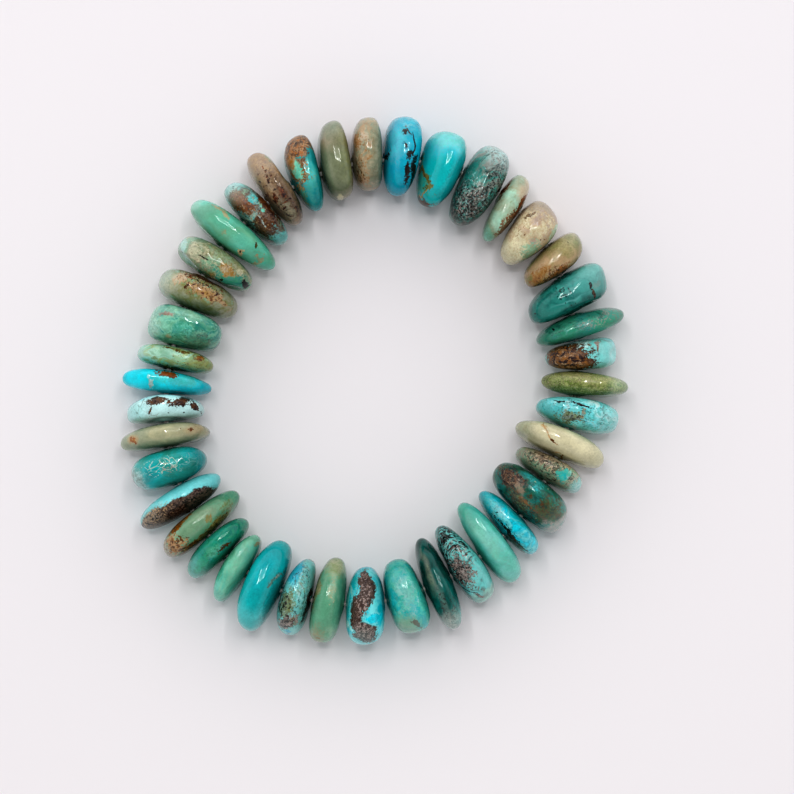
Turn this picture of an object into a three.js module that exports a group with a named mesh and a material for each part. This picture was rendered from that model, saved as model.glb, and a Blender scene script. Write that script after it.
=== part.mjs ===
// A stretch bracelet of polished turquoise nuggets, lying flat: a closed ring of drilled stones on one
// elastic cord. Millimetres, +Z up. It stands on z = 0, with the middle of its box on the Z axis.
import * as THREE from "three";

// The thread runs round an oval at one height. Its turn is in degrees, the long axis against +X.
const LOOP_HALF_LENGTH = 38.0;
const LOOP_HALF_WIDTH = 33.3;
const LOOP_TURN = 63;
const THREAD_HEIGHT = 6.2;
const FIRST_STONE_PLACE = 0.13; // part of the way round the oval, anticlockwise from its long end

const CORD_RADIUS = 0.4;
const BORE_RADIUS = 0.8;

// How finely the stones and the cord are faceted.
const STONE_SEGMENTS = 12;
const FACE_STEPS = 4; // rings of facets from a bore mouth to the stone's rim
const CORD_STEPS = 72;
const CORD_SIDES = 8;

// How uneven a tumbled stone's rim and faces are, as a part of its own size.
const RIM_LUMP = 0.05;
const FACE_LUMP = 0.05;

// How much boxier than a plain oval a stone is: seen along the thread, and towards its outer end.
const RIM_BLUNT = 2.3;
const OUTER_BLUNT = 0.1;

// Body colour and surface of each kind of stone. Its name is also the kind's material slot.
const STONE_KINDS = {
  sky_blue: { color: 0x1fb0cc, roughness: 0.22 },
  bright_turquoise: { color: 0x1cb4b2, roughness: 0.2 },
  pale_aqua: { color: 0x7fcfca, roughness: 0.25 },
  mint_green: { color: 0x86cdb0, roughness: 0.24 },
  leaf_green: { color: 0x5fa588, roughness: 0.24 },
  deep_teal: { color: 0x1f7a72, roughness: 0.2 },
  sage_grey: { color: 0x9aa68a, roughness: 0.26 },
  olive_ochre: { color: 0xa39a56, roughness: 0.28 },
  cream_tan: { color: 0xcbb792, roughness: 0.28 },
  rust_brown: { color: 0x8d5a3a, roughness: 0.32 },
};

// One row for each stone, clockwise from above. Lengths in millimetres, turns in degrees.
//   length  along the bracelet's radius          height  upright
//   thick   along the thread, at the bore        yaw     outer end swung anticlockwise
//   lean    top swung anticlockwise              shift   middle moved out from the thread
//   bow     both ends bent anticlockwise         wedge   how much thicker the outer end is
//   blunt   2 is an oval, more is boxier         rise    clear height over the ground
const COLUMNS =
  ["length", "height", "thick", "yaw", "lean", "shift", "bow", "wedge", "blunt", "rise", "kind"];
const STONE_ROWS = [
  [13.0, 11.8, 5.0, -7, -6, 0.9, -0.4, 0.30, 2.6, 0.0, "rust_brown"],
  [13.4, 12.2, 5.2, -5, -7, 1.3, -0.4, 0.06, 2.8, 0.0, "sage_grey"],
  [12.4, 12.0, 5.1, -2, -7, 1.3, -0.5, 0.06, 2.7, 0.1, "cream_tan"],
  [13.6, 12.4, 6.0, -4, -7, 0.6, 0.0, 0.18, 2.5, 0.0, "sky_blue"],
  [13.2, 12.6, 7.1, -2, -8, -0.8, 0.2, 0.15, 2.3, 0.0, "bright_turquoise"],
  [15.0, 12.4, 6.9, -1, -5, -0.9, 0.2, 0.10, 2.4, 0.0, "deep_teal"],
  [12.6, 11.4, 4.5, 8, -2, -1.3, 0.0, 0.06, 2.4, 0.2, "sage_grey"],
  [11.8, 12.4, 7.0, 9, -3, -1.6, 0.0, 0.06, 2.5, 0.0, "cream_tan"],
  [11.7, 11.6, 5.3, 11, -4, -0.3, 0.0, 0.08, 2.6, 0.0, "olive_ochre"],
  [14.3, 12.2, 6.6, 11, -4, -0.2, -0.3, 0.18, 2.8, 0.0, "deep_teal"],
  [15.2, 11.0, 4.3, 10, -3, 0.9, -0.4, 0.04, 2.2, 0.3, "leaf_green"],
  [12.2, 11.8, 4.9, 5, -1, 0.6, 0.0, 0.30, 2.9, 0.0, "pale_aqua"],
  [14.6, 11.2, 4.2, 1, 3, 1.4, 0.0, 0.04, 2.4, 0.1, "olive_ochre"],
  [14.2, 12.0, 5.3, 1, 5, 1.0, 0.0, 0.22, 2.7, 0.0, "pale_aqua"],
  [16.0, 12.2, 5.0, -3, 6, -0.3, -0.3, 0.10, 2.5, 0.0, "cream_tan"],
  [12.5, 10.8, 4.3, -4, 7, -0.3, 0.0, 0.06, 2.5, 0.3, "rust_brown"],
  [14.8, 12.6, 6.8, -5, 6, -0.9, 0.0, 0.06, 2.5, 0.0, "deep_teal"],
  [13.6, 11.0, 4.2, -5, 5, -1.1, 0.0, 0.03, 2.4, 0.1, "sky_blue"],
  [16.0, 11.8, 5.1, -4, 6, -1.1, 0.0, 0.10, 2.6, 0.0, "mint_green"],
  [14.9, 12.0, 5.6, 0, 4, -0.8, 0.0, 0.18, 2.6, 0.0, "pale_aqua"],
  [16.2, 11.4, 4.8, -4, 3, 0.0, 0.0, 0.04, 2.4, 0.2, "deep_teal"],
  [12.8, 12.4, 6.6, 1, 3, 0.0, 0.0, 0.12, 2.8, 0.0, "bright_turquoise"],
  [13.2, 12.6, 6.6, -4, 0, 0.3, 0.0, 0.16, 2.4, 0.0, "bright_turquoise"],
  [14.4, 12.0, 5.4, -4, -2, -0.4, 0.0, 0.07, 2.6, 0.0, "leaf_green"],
  [13.4, 11.8, 5.1, 0, -4, 0.0, 0.3, 0.12, 2.4, 0.1, "pale_aqua"],
  [16.2, 12.6, 6.2, 4, -6, 0.3, 0.4, 0.04, 2.5, 0.0, "bright_turquoise"],
  [13.0, 11.2, 4.2, 5, -7, 0.4, 0.4, 0.06, 2.4, 0.0, "sage_grey"],
  [13.5, 11.2, 4.4, 2, -6, 0.1, 0.1, 0.03, 2.5, 0.2, "leaf_green"],
  [15.8, 11.8, 4.9, 6, -5, -0.2, 0.0, 0.09, 2.4, 0.0, "sage_grey"],
  [15.5, 11.4, 4.8, 6, -4, 1.0, 0.0, 0.06, 2.2, 0.0, "rust_brown"],
  [13.0, 12.4, 6.1, 1, -5, 0.7, 0.0, 0.14, 2.4, 0.0, "deep_teal"],
  [15.2, 11.4, 4.1, 1, -4, 0.5, 0.4, 0.07, 2.5, 0.1, "sage_grey"],
  [13.2, 11.8, 4.5, 3, -5, 0.1, 0.7, 0.12, 2.7, 0.0, "pale_aqua"],
  [15.0, 11.0, 3.9, -1, -4, 0.0, 0.2, 0.07, 2.5, 0.0, "sky_blue"],
  [13.0, 10.8, 3.9, 0, -6, -0.8, 0.2, 0.03, 2.6, 0.2, "leaf_green"],
  [12.6, 12.6, 6.4, 3, -8, -1.2, 0.2, 0.06, 2.8, 0.0, "leaf_green"],
  [14.0, 11.8, 6.0, 3, -5, -0.8, 0.0, 0.04, 2.5, 0.0, "sage_grey"],
  [14.0, 11.8, 5.4, 2, -4, -0.8, 0.0, 0.04, 2.6, 0.1, "olive_ochre"],
  [17.2, 12.2, 5.4, 4, -5, -0.3, 0.0, 0.06, 2.5, 0.0, "mint_green"],
  [13.7, 11.8, 5.0, 4, -6, -0.3, 0.0, 0.06, 2.6, 0.0, "rust_brown"],
  [14.2, 12.0, 4.8, 1, -6, 1.2, 0.0, 0.16, 2.5, 0.0, "rust_brown"],
];
const stones = STONE_ROWS.map((row) => Object.fromEntries(COLUMNS.map((name, i) => [name, row[i]])));

const radians = THREE.MathUtils.degToRad;
const loop = new THREE.EllipseCurve(
  0, 0, LOOP_HALF_LENGTH, LOOP_HALF_WIDTH, 0, 2 * Math.PI, false, radians(LOOP_TURN));
loop.arcLengthDivisions = 720;

// Boxes out a sine or cosine: with blunt 2 it stays as it is, and with more the oval gets squarer.
const boxed = (value, blunt) => Math.sign(value) * Math.abs(value) ** (2 / blunt);

// Round section of a stone through its thread axis. x runs from 1 at the bore's wall to 2 at the rim,
// and y from -1 at one face to 1 at the other. The section closes on itself down the wall of the bore.
function stoneSection() {
  const points = [];
  for (let step = -FACE_STEPS; step <= FACE_STEPS; step += 1) {
    const turn = (step / FACE_STEPS) * (Math.PI / 2);
    points.push(new THREE.Vector2(1 + Math.cos(turn), Math.sin(turn)));
  }
  points[0].x = 1;
  points[points.length - 1].x = 1;
  points.push(points[0].clone());
  return points;
}

// Turns a list of values into a function that carries its range to -0.5 ... 0.5.
function fitted(values) {
  const low = Math.min(...values);
  const high = Math.max(...values);
  return (value) => (value - low) / (high - low) - 0.5;
}

// The rim seen along the thread: an uneven oval round the bore, its lumps turned on from stone to stone.
function rimShape(number) {
  const start = number * Math.PI * (3 - Math.sqrt(5));
  const lump = (turn) => 1 + RIM_LUMP * (Math.sin(2 * turn + start) + 0.6 * Math.sin(3 * turn + 2 * start));
  const out = (turn) => lump(turn) * boxed(Math.sin(turn), RIM_BLUNT);
  const up = (turn) => lump(turn) * boxed(Math.cos(turn), RIM_BLUNT);
  const turns = Array.from({ length: STONE_SEGMENTS }, (_, i) => (2 * Math.PI * i) / STONE_SEGMENTS);
  const fitOut = fitted(turns.map(out));
  const fitUp = fitted(turns.map(up));
  return (turn) => [fitOut(out(turn)), fitUp(up(turn))];
}

// A nugget round its bore: X is out from the bracelet's middle, Y along the thread, Z up, and the
// origin is on the thread. Its rim is set off the bore; its bore stays round and straight.
function stoneGeometry(stone, number) {
  const geometry = new THREE.LatheGeometry(stoneSection(), STONE_SEGMENTS);
  const place = geometry.attributes.position;
  const rim = rimShape(number);
  const middleHeight = stone.rise + stone.height / 2 - THREAD_HEIGHT;
  for (let i = 0; i < place.count; i += 1) {
    const turn = Math.atan2(place.getX(i), place.getZ(i));
    const blunt = stone.blunt + OUTER_BLUNT * Math.max(Math.sin(turn), 0);
    const reach = boxed(Math.hypot(place.getX(i), place.getZ(i)) - 1, blunt);
    const [rimOut, rimUp] = rim(turn);
    const x = (1 - reach) * BORE_RADIUS * Math.sin(turn) + reach * (stone.shift + stone.length * rimOut);
    const z = (1 - reach) * BORE_RADIUS * Math.cos(turn) + reach * (middleHeight + stone.height * rimUp);
    const along = (2 * x) / stone.length;
    const lump = 1 - FACE_LUMP * reach * (1 + Math.sin(2 * turn - number));
    const face = boxed(place.getY(i), blunt) * (stone.thick / 2) * lump * (1 + stone.wedge * along);
    const swing = x * Math.tan(radians(stone.yaw)) + z * Math.tan(radians(stone.lean));
    place.setXYZ(i, x, face + swing + stone.bow * along ** 2, z);
  }
  geometry.computeVertexNormals();
  return geometry;
}

function stoneMesh(stone, number, place) {
  const kind = STONE_KINDS[stone.kind];
  const material = new THREE.MeshStandardMaterial({ ...kind, metalness: 0 });
  const mesh = new THREE.Mesh(stoneGeometry(stone, number), material);
  mesh.name = `stone_${String(number).padStart(2, "0")}`;
  const spot = loop.getPointAt(place);
  const along = loop.getTangentAt(place);
  mesh.position.set(spot.x, spot.y, THREAD_HEIGHT);
  mesh.rotation.z = Math.atan2(along.y, along.x) - Math.PI / 2;
  return mesh;
}

// Threads the stones clockwise, one against the next, sharing the loop's spare length between them.
function threadStones(group) {
  const loopLength = loop.getLength();
  const filled = stones.reduce((sum, stone) => sum + stone.thick, 0);
  const gap = (loopLength - filled) / stones.length;
  let place = FIRST_STONE_PLACE * loopLength;
  stones.forEach((stone, i) => {
    const next = stones[(i + 1) % stones.length];
    group.add(stoneMesh(stone, i + 1, THREE.MathUtils.euclideanModulo(place / loopLength, 1)));
    place -= (stone.thick + next.thick) / 2 + gap;
  });
}

// The loop of the thread as a curve in space, for the cord.
class ThreadPath extends THREE.Curve {
  getPoint(t, target = new THREE.Vector3()) {
    const spot = loop.getPointAt(THREE.MathUtils.euclideanModulo(t, 1));
    return target.set(spot.x, spot.y, THREAD_HEIGHT);
  }
}

function elasticCord() {
  const geometry = new THREE.TubeGeometry(new ThreadPath(), CORD_STEPS, CORD_RADIUS, CORD_SIDES, true);
  const material = new THREE.MeshStandardMaterial({ color: 0xe6e4df, roughness: 0.4, metalness: 0 });
  const mesh = new THREE.Mesh(geometry, material);
  mesh.name = "elastic_cord";
  return mesh;
}

const bracelet = new THREE.Group();
threadStones(bracelet);
bracelet.add(elasticCord());

// Sets the middle of the box over the origin and its lowest stones on the ground.
const box = new THREE.Box3().setFromObject(bracelet, true);
const middle = box.getCenter(new THREE.Vector3());
bracelet.position.set(-middle.x, -middle.y, -box.min.z);

export default bracelet;
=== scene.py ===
import math
import random

import bmesh
import bpy
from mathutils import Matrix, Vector, noise
from mathutils.bvhtree import BVHTree


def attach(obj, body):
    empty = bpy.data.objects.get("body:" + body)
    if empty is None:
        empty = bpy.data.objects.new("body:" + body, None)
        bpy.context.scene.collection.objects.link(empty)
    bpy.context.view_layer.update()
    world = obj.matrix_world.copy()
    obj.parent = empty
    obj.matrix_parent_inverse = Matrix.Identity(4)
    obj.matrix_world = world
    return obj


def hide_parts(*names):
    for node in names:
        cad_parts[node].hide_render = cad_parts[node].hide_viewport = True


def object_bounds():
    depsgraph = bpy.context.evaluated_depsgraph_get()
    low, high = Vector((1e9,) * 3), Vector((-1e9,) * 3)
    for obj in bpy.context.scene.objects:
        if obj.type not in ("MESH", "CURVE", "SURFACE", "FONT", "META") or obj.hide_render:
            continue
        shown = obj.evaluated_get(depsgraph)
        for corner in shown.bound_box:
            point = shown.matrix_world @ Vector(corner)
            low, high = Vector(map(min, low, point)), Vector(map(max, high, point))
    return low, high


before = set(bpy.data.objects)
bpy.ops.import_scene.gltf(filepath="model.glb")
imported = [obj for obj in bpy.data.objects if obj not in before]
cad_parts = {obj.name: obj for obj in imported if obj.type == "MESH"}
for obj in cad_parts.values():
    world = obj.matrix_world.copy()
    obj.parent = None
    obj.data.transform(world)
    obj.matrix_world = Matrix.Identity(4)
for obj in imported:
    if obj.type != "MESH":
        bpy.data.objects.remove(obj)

cad_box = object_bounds()
MM = 0.001
scene = bpy.context.scene

# ---------------- camera, light and ground
CAMERA_OVER = (3.86 * MM, -2.77 * MM)  # the point of the ground that the camera looks straight down on
CAMERA_HEIGHT = 507 * MM
CAMERA_REACH = (0.01, 20.0)  # the nearest and the furthest that it sees
RING_HEIGHT = 7 * MM
VIEW_WIDTH = 132.3 * MM  # what the camera takes in at the height of the ring
SENSOR = 36.0

FLOOR_SIDE = 4.0
FLOOR_TONES = ("E0DDE0", "E3E0E2")
FLOOR_CLOUDS = 3.0  # how many clouds of the two tones there are to a metre

DAYLIGHT = 0.8  # strength of the even light from all round
DAYLIGHT_COLOUR = (1.0, 0.985, 0.99, 1.0)
OVERHEAD = 0.3  # the part of it that comes from straight overhead, where the room is darker
OVERHEAD_FROM = (0.6, 0.88)  # how high up the room begins to darken and is darkest, 1 being overhead
NORTH = 0.3  # how much stronger it is on the window's side of the room
WINDOW_AWAY = 0.75  # from the ring's middle
WINDOW_TILT = 20  # degrees off the vertical
WINDOW_SIZE = (0.34, 0.28)
WINDOW_FRAME = 0.012  # width of its bright edges
FRAME_GLOW = 45.0
PANE_GLOW = 1.5

NOISE_RANGE = (0.3, 0.7)  # what nearly all of a soft pattern's values lie between


def linear(hex_colour):
    """A colour written as six hexadecimal digits, as the linear RGBA that a shader takes."""
    parts = [int(hex_colour[i : i + 2], 16) / 255 for i in (0, 2, 4)]
    return (*[p / 12.92 if p <= 0.04045 else ((p + 0.055) / 1.055) ** 2.4 for p in parts], 1.0)


def add_object(name, data):
    made = bpy.data.objects.new(name, data)
    scene.collection.objects.link(made)
    return made


def as_piece(name, shape):
    """Makes an object of a bmesh, and lets the bmesh go."""
    mesh = bpy.data.meshes.new(name)
    shape.to_mesh(mesh)
    shape.free()
    return add_object(name, mesh)


class Nodes:
    """A tree of shader nodes, with shorthands for the nodes that are used over and over."""

    def __init__(self, tree):
        self.tree = tree

    def add(self, kind, inputs=None, **settings):
        made = self.tree.nodes.new("ShaderNode" + kind)
        for key, value in settings.items():
            setattr(made, key, value)
        for key, value in (inputs or {}).items():
            if isinstance(value, bpy.types.NodeSocket):
                self.tree.links.new(value, made.inputs[key])
            else:
                made.inputs[key].default_value = value
        return made

    def noise(self, vector, scale, detail=2.0, roughness=0.5, distortion=0.0):
        return self.add("TexNoise", {"Vector": vector, "Scale": scale, "Detail": detail,
                                     "Roughness": roughness, "Distortion": distortion})

    def math(self, operation, *values):
        return self.add("Math", dict(enumerate(values)), operation=operation).outputs[0]

    def vector_math(self, operation, *values):
        return self.add("VectorMath", dict(enumerate(values)), operation=operation).outputs[0]

    def span(self, value, low, high, least=0.0, most=1.0):
        """Carries low ... high smoothly to least ... most. high may be under low."""
        return self.add("MapRange", {"Value": value, "From Min": low, "From Max": high, "To Min": least,
                                     "To Max": most}, interpolation_type="SMOOTHSTEP").outputs[0]

    def mix(self, mask, under, over):
        return self.add("Mix", {0: mask, 6: under, 7: over}, data_type="RGBA").outputs[2]

    def ramp(self, value, colours, low, high):
        """Spreads a row of colours evenly over low ... high of a pattern."""
        made = self.add("ValToRGB", {"Fac": value})
        stops = made.color_ramp.elements
        for i, colour in enumerate(colours):
            place = low + (high - low) * i / (len(colours) - 1)
            stop = stops[i] if i < 2 else stops.new(place)
            stop.position, stop.color = place, colour
        return made.outputs[0]


def aim(piece, spot):
    """Stands a light on the given side of the ring, looking at the ring's middle."""
    piece.location = spot
    piece.rotation_euler = (Vector((0, 0, RING_HEIGHT)) - Vector(spot)).to_track_quat("-Z", "Y").to_euler()


def add_camera():
    data = bpy.data.cameras.new("camera")
    data.sensor_width = SENSOR
    data.lens = SENSOR * (CAMERA_HEIGHT - RING_HEIGHT) / VIEW_WIDTH
    data.clip_start, data.clip_end = CAMERA_REACH
    camera = add_object("camera", data)
    camera.location = (*CAMERA_OVER, CAMERA_HEIGHT)
    scene.camera = camera


def add_panel(name, place, size, glow):
    """One soft panel of the window. place is where its middle is on the window, and glow its radiance."""
    data = bpy.data.lights.new(name, "AREA")
    data.shape = "RECTANGLE"
    data.size, data.size_y = size
    data.energy = glow * math.pi * size[0] * size[1]
    panel = add_object(name, data)
    tilt = math.radians(WINDOW_TILT)
    aim(panel, (0, WINDOW_AWAY * math.sin(tilt), WINDOW_AWAY * math.cos(tilt)))
    panel.location += panel.rotation_euler.to_matrix() @ Vector((*place, 0))


def add_window():
    """A soft window, nearly overhead, whose bright edges leave a small arch of light on each stone."""
    wide, high = WINDOW_SIZE
    side = (wide - WINDOW_FRAME) / 2
    add_panel("window_pane", (0, 0), (wide - 2 * WINDOW_FRAME, high - WINDOW_FRAME), PANE_GLOW)
    add_panel("window_head", (0, (high - WINDOW_FRAME) / 2), (wide, WINDOW_FRAME), FRAME_GLOW)
    add_panel("window_left", (-side, 0), (WINDOW_FRAME, high), FRAME_GLOW)
    add_panel("window_right", (side, 0), (WINDOW_FRAME, high), FRAME_GLOW)


def add_daylight():
    world = bpy.data.worlds.new("daylight")
    scene.world = world
    world.use_nodes = True
    room = Nodes(world.node_tree)
    way = room.add("SeparateXYZ", {0: room.add("TexCoord").outputs["Generated"]}).outputs
    height = room.span(way["Z"], *OVERHEAD_FROM, 1.0, OVERHEAD)
    side = room.math("MULTIPLY_ADD", way["Y"], NORTH * DAYLIGHT, DAYLIGHT)
    background = world.node_tree.nodes["Background"].inputs
    background["Color"].default_value = DAYLIGHT_COLOUR
    world.node_tree.links.new(room.math("MULTIPLY", height, side), background["Strength"])


# ---------------- finishes
PALETTE = {
    "sky": "26B6D0", "deep_sky": "1296BA", "pale_sky": "86CCDF", "cyan": "0EC2D4",
    "bright_cyan": "06E0F0", "turquoise": "18BCBE", "deep_turquoise": "0F8F92",
    "pale_turquoise": "79CFCB", "aqua": "86CFCB", "bright_aqua": "7FDDE0", "seafoam": "6CCBB6",
    "ice": "C2E6E4", "frost": "D0F6F5", "sea": "3F9F94", "teal": "1C7F78", "dark_teal": "17504C",
    "mint": "8DD1B5", "pale_mint": "B4DEC9", "jade": "3DA685", "leaf": "6EAF8F",
    "dark_leaf": "2F6E58", "moss": "76894A", "light_moss": "ABB476", "celadon": "93BB9D",
    "sage": "A5A98F", "dark_sage": "7F876E", "olive": "8F9058", "dark_olive": "5C6238",
    "ochre": "BC9048", "gold": "AC7530", "cream": "CFC7A4", "ivory": "DCD6B6", "shell": "EFE8C6",
    "sand": "CDBBA0", "tan": "BFA27C", "greige": "B1A28D", "apricot": "CB9B68", "rust": "98582F",
    "brown": "6E4A2E", "umber": "3B291E", "taupe": "6B5A50", "rose_grey": "B5A49D",
    "pebble": "8C8E86", "ash": "697370", "charcoal": "2B302E", "soot": "141616",
}
# A stone's own colour is deeper than the palette's, because its polish adds light to it.
TINT_SHARE = 0.87
TINT_DROP = 0.018
TINT_LEAST = 0.003

# The patterns that every stone is cut from, in clouds or grains to the millimetre.
ROCK_STEP = (37, 11, 5)  # how far apart two stones are in the rock, in millimetres
DRIFT = 0.28  # slow wandering, which keeps edges from being straight
DRIFT_UNITS = (0.5, 0.7, 0.5)  # how far it moves a place on a stone, in stone units
DRIFT_MM = (4.0, 4.0, 4.0)  # how far it moves a place in the rock
BROAD, GRIT, FINE = 0.7, 1.4, 2.8
FINE_SHARE = 1.6  # how much of a ragged edge is fine
RAGGED_MIDDLE = 1.3
GRIT_SPREAD = (0.42, 0.58)  # where a mark's colours lie on the grit
WEB_RAGGED, WEB_CORE = 2.2, 0.3  # how uneven a vein's edge is, and how much of its width is full
SPECK_RAGGED, SPECK_CORE = 1.6, 0.55  # the same of a speck's radius
GRAIN_SPREAD = 0.28  # how far the grains' noise strays from its middle
GRAIN_EDGE = (0.03, 0.04)  # how far a grain's edge reaches outwards and inwards

# The polish, with painted reflection hazing each stone's outer end and painted shade deepening its inner
# end.
PAINTED_HAZE_END = (0.3, 1.1)  # where the haze over the outer end, a painted reflection of the bright room, begins and is full
PAINTED_SHADE_END = (-0.1, -1.0)  # where the painted shade over the inner end begins and is full
PAINTED_SHADE_LEVEL = 0.78  # how bright the inner end is against the rest, under that painted shade
CLOUDY = 0.45  # clouds in the polish to the millimetre
CLOUDY_LIGHT = (0.9, 1.08)
GRAIN_LIGHT, MATRIX_LIGHT = 0.7, 3.0  # how much the fine grain shows in the polish and in the matrix
SHEEN = (0.045, 0.11)  # the polish's least and most roughness
MATRIX_ROUGH = 0.3  # how much the matrix adds to it
WAVES = 0.35  # how high the polish's waves are against the pits
BUMP = {"Strength": 0.6, "Distance": 0.25 * MM}
STONE_IOR = 1.48


def tint(name):
    return tuple(max(TINT_LEAST, TINT_SHARE * c - TINT_DROP) for c in linear(PALETTE[name])[:3]) + (1.0,)


class Finish(Nodes):
    """One procedural material."""

    def __init__(self, name):
        self.material = bpy.data.materials.new(name)
        self.material.use_nodes = True
        super().__init__(self.material.node_tree)
        self.tree.nodes.clear()

    def close(self, **inputs):
        shader = self.add("BsdfPrincipled", {key.replace("_", " "): value for key, value in inputs.items()})
        self.add("OutputMaterial", {"Surface": shader.outputs[0]})
        return self.material


class StoneFinish(Finish):
    """The finish of one stone, laid down from the body colour outwards. Places and sizes on it are in stone
    units: x from -1 at its inner end to 1 at its outer end, y to 1 on its anticlockwise side and z to 1 at
    its top. A spot is where a mark's middle is, x and y, and how far it reaches along and across."""

    def __init__(self, number, lie):
        super().__init__(f"stone_{number:02d}_polish")
        place = self.add("TexCoord").outputs["Object"]
        turn = (0, 0, lie.turn)
        self.unit = self.add("Mapping", {"Vector": place, "Location": lie.centre, "Rotation": turn,
                                         "Scale": lie.half}, vector_type="TEXTURE").outputs[0]
        start = lie.centre - Vector([number * step for step in ROCK_STEP]) * MM
        self.mm = self.add("Mapping", {"Vector": place, "Location": start, "Rotation": turn,
                                       "Scale": (MM, MM, MM)}, vector_type="TEXTURE").outputs[0]
        drift = self.noise(self.mm, DRIFT, detail=1.0).outputs[1]
        centred = self.vector_math("SUBTRACT", drift, (0.5, 0.5, 0.5))
        self.wander = self.vector_math("MULTIPLY_ADD", centred, DRIFT_UNITS, self.unit)
        self.flow = self.vector_math("MULTIPLY_ADD", centred, DRIFT_MM, self.mm)
        self.fine = self.noise(self.mm, FINE, detail=5.0, roughness=0.8, distortion=0.3).outputs[0]
        self.grit = self.noise(self.mm, GRIT, detail=6.0, roughness=0.8).outputs[0]
        broad = self.noise(self.mm, BROAD, detail=3.0, roughness=0.6).outputs[0]
        both = self.math("MULTIPLY_ADD", self.fine, FINE_SHARE, broad)
        self.ragged = self.math("SUBTRACT", both, RAGGED_MIDDLE)
        self.matrix = 0.0  # where the matrix shows, the brown rock round the turquoise

    def body(self, colours, cloud=3.5, stretch=(1, 1, 1), low=0.36, high=0.64, haze=0.3, light=1.0,
             rich=1.0):
        """Soft clouds of colour, cloud millimetres in size. haze is how much a painted reflection of the
        bright room hazes the outer end over, and light and rich are how bright and how strong the finished
        stone's colours are."""
        self.haze, self.light, self.rich = haze, light, rich
        clouds = self.noise(self.vector_math("MULTIPLY", self.flow, stretch), 1 / cloud, detail=5.0,
                            roughness=0.58, distortion=0.4).outputs[0]
        self.colour = self.ramp(clouds, [tint(name) for name in colours], low, high)

    def area(self, spot, turn=0, depth=0.8, ragged=0.8, soft=0.05):
        """A mask of a rounded area with an uneven edge, on the top of the stone over the spot."""
        x, y, along, across = spot
        height = math.sqrt(max(0.0, 1 - x * x - y * y))
        place = self.add("Mapping", {"Vector": self.wander, "Location": (x, y, height),
                                     "Rotation": (0, 0, math.radians(turn)),
                                     "Scale": (along, across, depth)}, vector_type="TEXTURE").outputs[0]
        reach = self.add("VectorMath", {0: place}, operation="LENGTH").outputs["Value"]
        edge = self.math("MULTIPLY_ADD", self.ragged, 2 * ragged, reach)
        return self.span(edge, 1 + soft, 1 - soft)

    def lay(self, mask, colours, strength, matte):
        """Lays colours where the mask is. matte says how much of the polish is lost there."""
        if strength < 1:
            mask = self.math("MULTIPLY", mask, strength)
        over = [tint(name) for name in colours]
        over = self.ramp(self.grit, over, *GRIT_SPREAD) if len(over) > 1 else over[0]
        self.colour = self.mix(mask, self.colour, over)
        if matte:
            self.matrix = self.math("MAXIMUM", self.math("MULTIPLY", mask, matte), self.matrix)

    def lay_in(self, mask, colours, spot, strength, matte, how):
        """Lays colours where the mask is, in the spot alone if there is one."""
        if spot is not None:
            mask = self.math("MULTIPLY", mask, self.area(spot, **how))
        self.lay(mask, colours, strength, matte)

    def patch(self, colours, spot, strength=1.0, matte=0.0, ragged=0.9, **how):
        """One rounded patch with an uneven edge."""
        self.lay(self.area(spot, ragged=ragged, **how), colours, strength, matte)

    def wash(self, colours, spot, strength=0.5, ragged=0.5, soft=0.5, **how):
        """A faint patch with a soft edge."""
        self.patch(colours, spot, strength, ragged=ragged, soft=soft, **how)

    def web(self, colours, cell, width, spot=None, strength=1.0, matte=0.0, **how):
        """Fine veins round cells of the given size, in millimetres. width is a part of a cell."""
        edge = self.add("TexVoronoi", {"Vector": self.flow, "Scale": 1 / cell},
                        feature="DISTANCE_TO_EDGE").outputs["Distance"]
        uneven = self.math("MULTIPLY_ADD", self.ragged, WEB_RAGGED * width, edge)
        self.lay_in(self.span(uneven, width, width * WEB_CORE), colours, spot, strength, matte, how)

    def specks(self, colours, spacing, radius, share, spot=None, strength=1.0, matte=0.0, **how):
        """Separate specks. spacing is in millimetres, radius a part of it, share how many there are."""
        dots = self.add("TexVoronoi", {"Vector": self.flow, "Scale": 1 / spacing})
        uneven = self.math("MULTIPLY_ADD", self.ragged, radius * SPECK_RAGGED, dots.outputs["Distance"])
        chosen = self.add("SeparateColor", {0: dots.outputs["Color"]}).outputs[0]
        mask = self.math("MULTIPLY", self.span(uneven, radius, radius * SPECK_CORE),
                         self.math("LESS_THAN", chosen, share))
        self.lay_in(mask, colours, spot, strength, matte, how)

    def grains(self, colours, grain, cover, spot=None, strength=1.0, matte=0.0, lean=0, stretch=1, **how):
        """A crowd of grains, in millimetres, over about that share of the spot. They may be stretched, and
        then lean that many degrees from the stone's long axis."""
        place = self.mm
        if stretch != 1:
            spun = self.add("Mapping", {"Vector": self.flow, "Rotation": (0, 0, math.radians(-lean))})
            place = self.add("Mapping", {"Vector": spun.outputs[0], "Scale": (1 / stretch, 1, 1)}).outputs[0]
        crowd = self.noise(place, 1 / grain, detail=3.0, roughness=0.75).outputs[0]
        level = 0.5 + GRAIN_SPREAD * (0.5 - cover)
        mask = self.span(crowd, level - GRAIN_EDGE[0], level + GRAIN_EDGE[1])
        self.lay_in(mask, colours, spot, strength, matte, how)

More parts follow.
